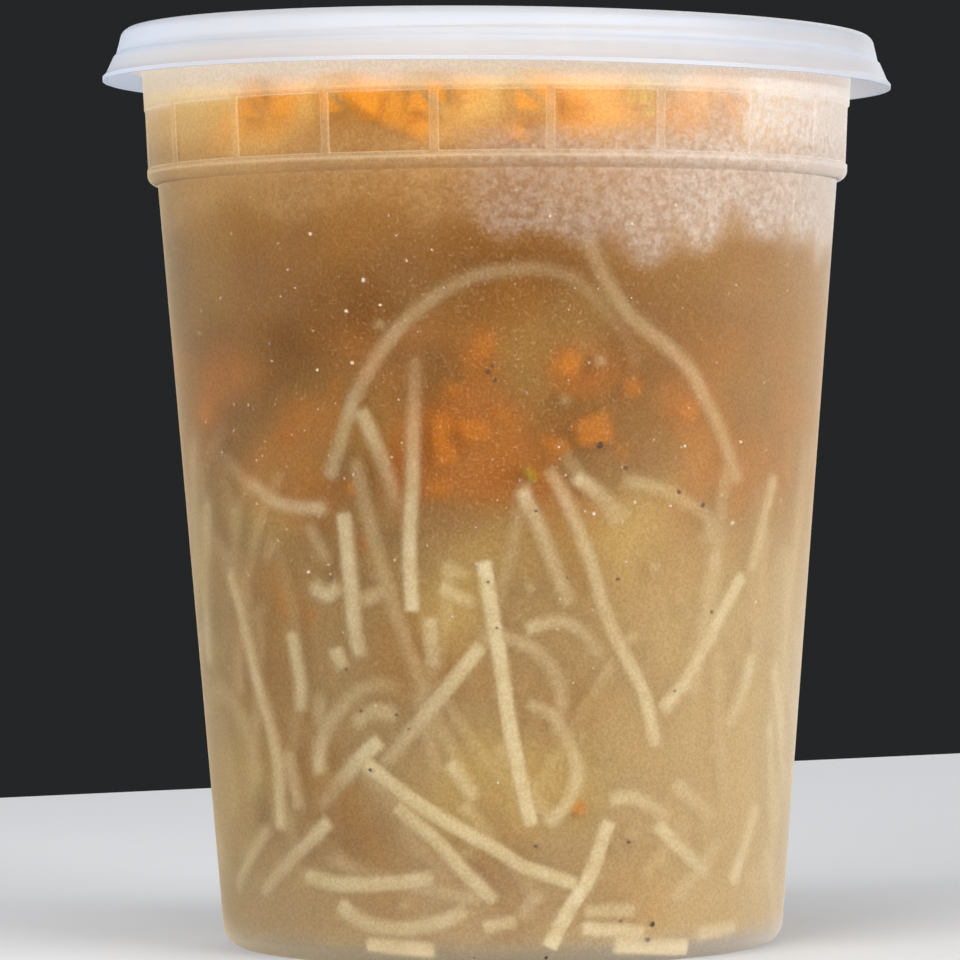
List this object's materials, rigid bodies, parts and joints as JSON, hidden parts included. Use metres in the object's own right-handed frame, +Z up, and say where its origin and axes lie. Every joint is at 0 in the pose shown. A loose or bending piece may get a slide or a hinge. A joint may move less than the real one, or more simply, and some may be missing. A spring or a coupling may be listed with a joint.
{
  "type": "chicken noodle soup in a lidded deli tub",
  "caption": "Chicken noodle soup in a tall round translucent plastic tub with a ribbed band and a pressed-on lid.",
  "frame": {"origin": "centre of the tub's foot ring, on the surface that it stands on", "axes": "+Z up along the tub's axis; -Y towards the viewer; the lid sits lower at +X"},
  "size_m": [0.12, 0.12, 0.1395],
  "materials": {
    "tub": "translucent frosted",
    "lid": "translucent milky",
    "broth": "cloudy broth",
    "carrot": "cooked carrot",
    "celery": "cooked celery"
  },
  "bodies": {
    "root": {"tub": "tub", "lid": "lid", "soup": "broth", "carrot_01": "carrot", "carrot_02": "carrot", "carrot_03": "carrot", "carrot_04": "carrot", "carrot_05": "carrot", "carrot_06": "carrot", "carrot_07": "carrot", "carrot_08": "carrot", "carrot_09": "carrot", "carrot_10": "carrot", "carrot_11": "carrot", "carrot_12": "carrot", "carrot_13": "carrot", "celery_01": "celery", "celery_02": "celery", "celery_03": "celery", "celery_04": "celery", "celery_05": "celery", "celery_06": "celery", "celery_07": "celery"}
  },
  "joints": []
}
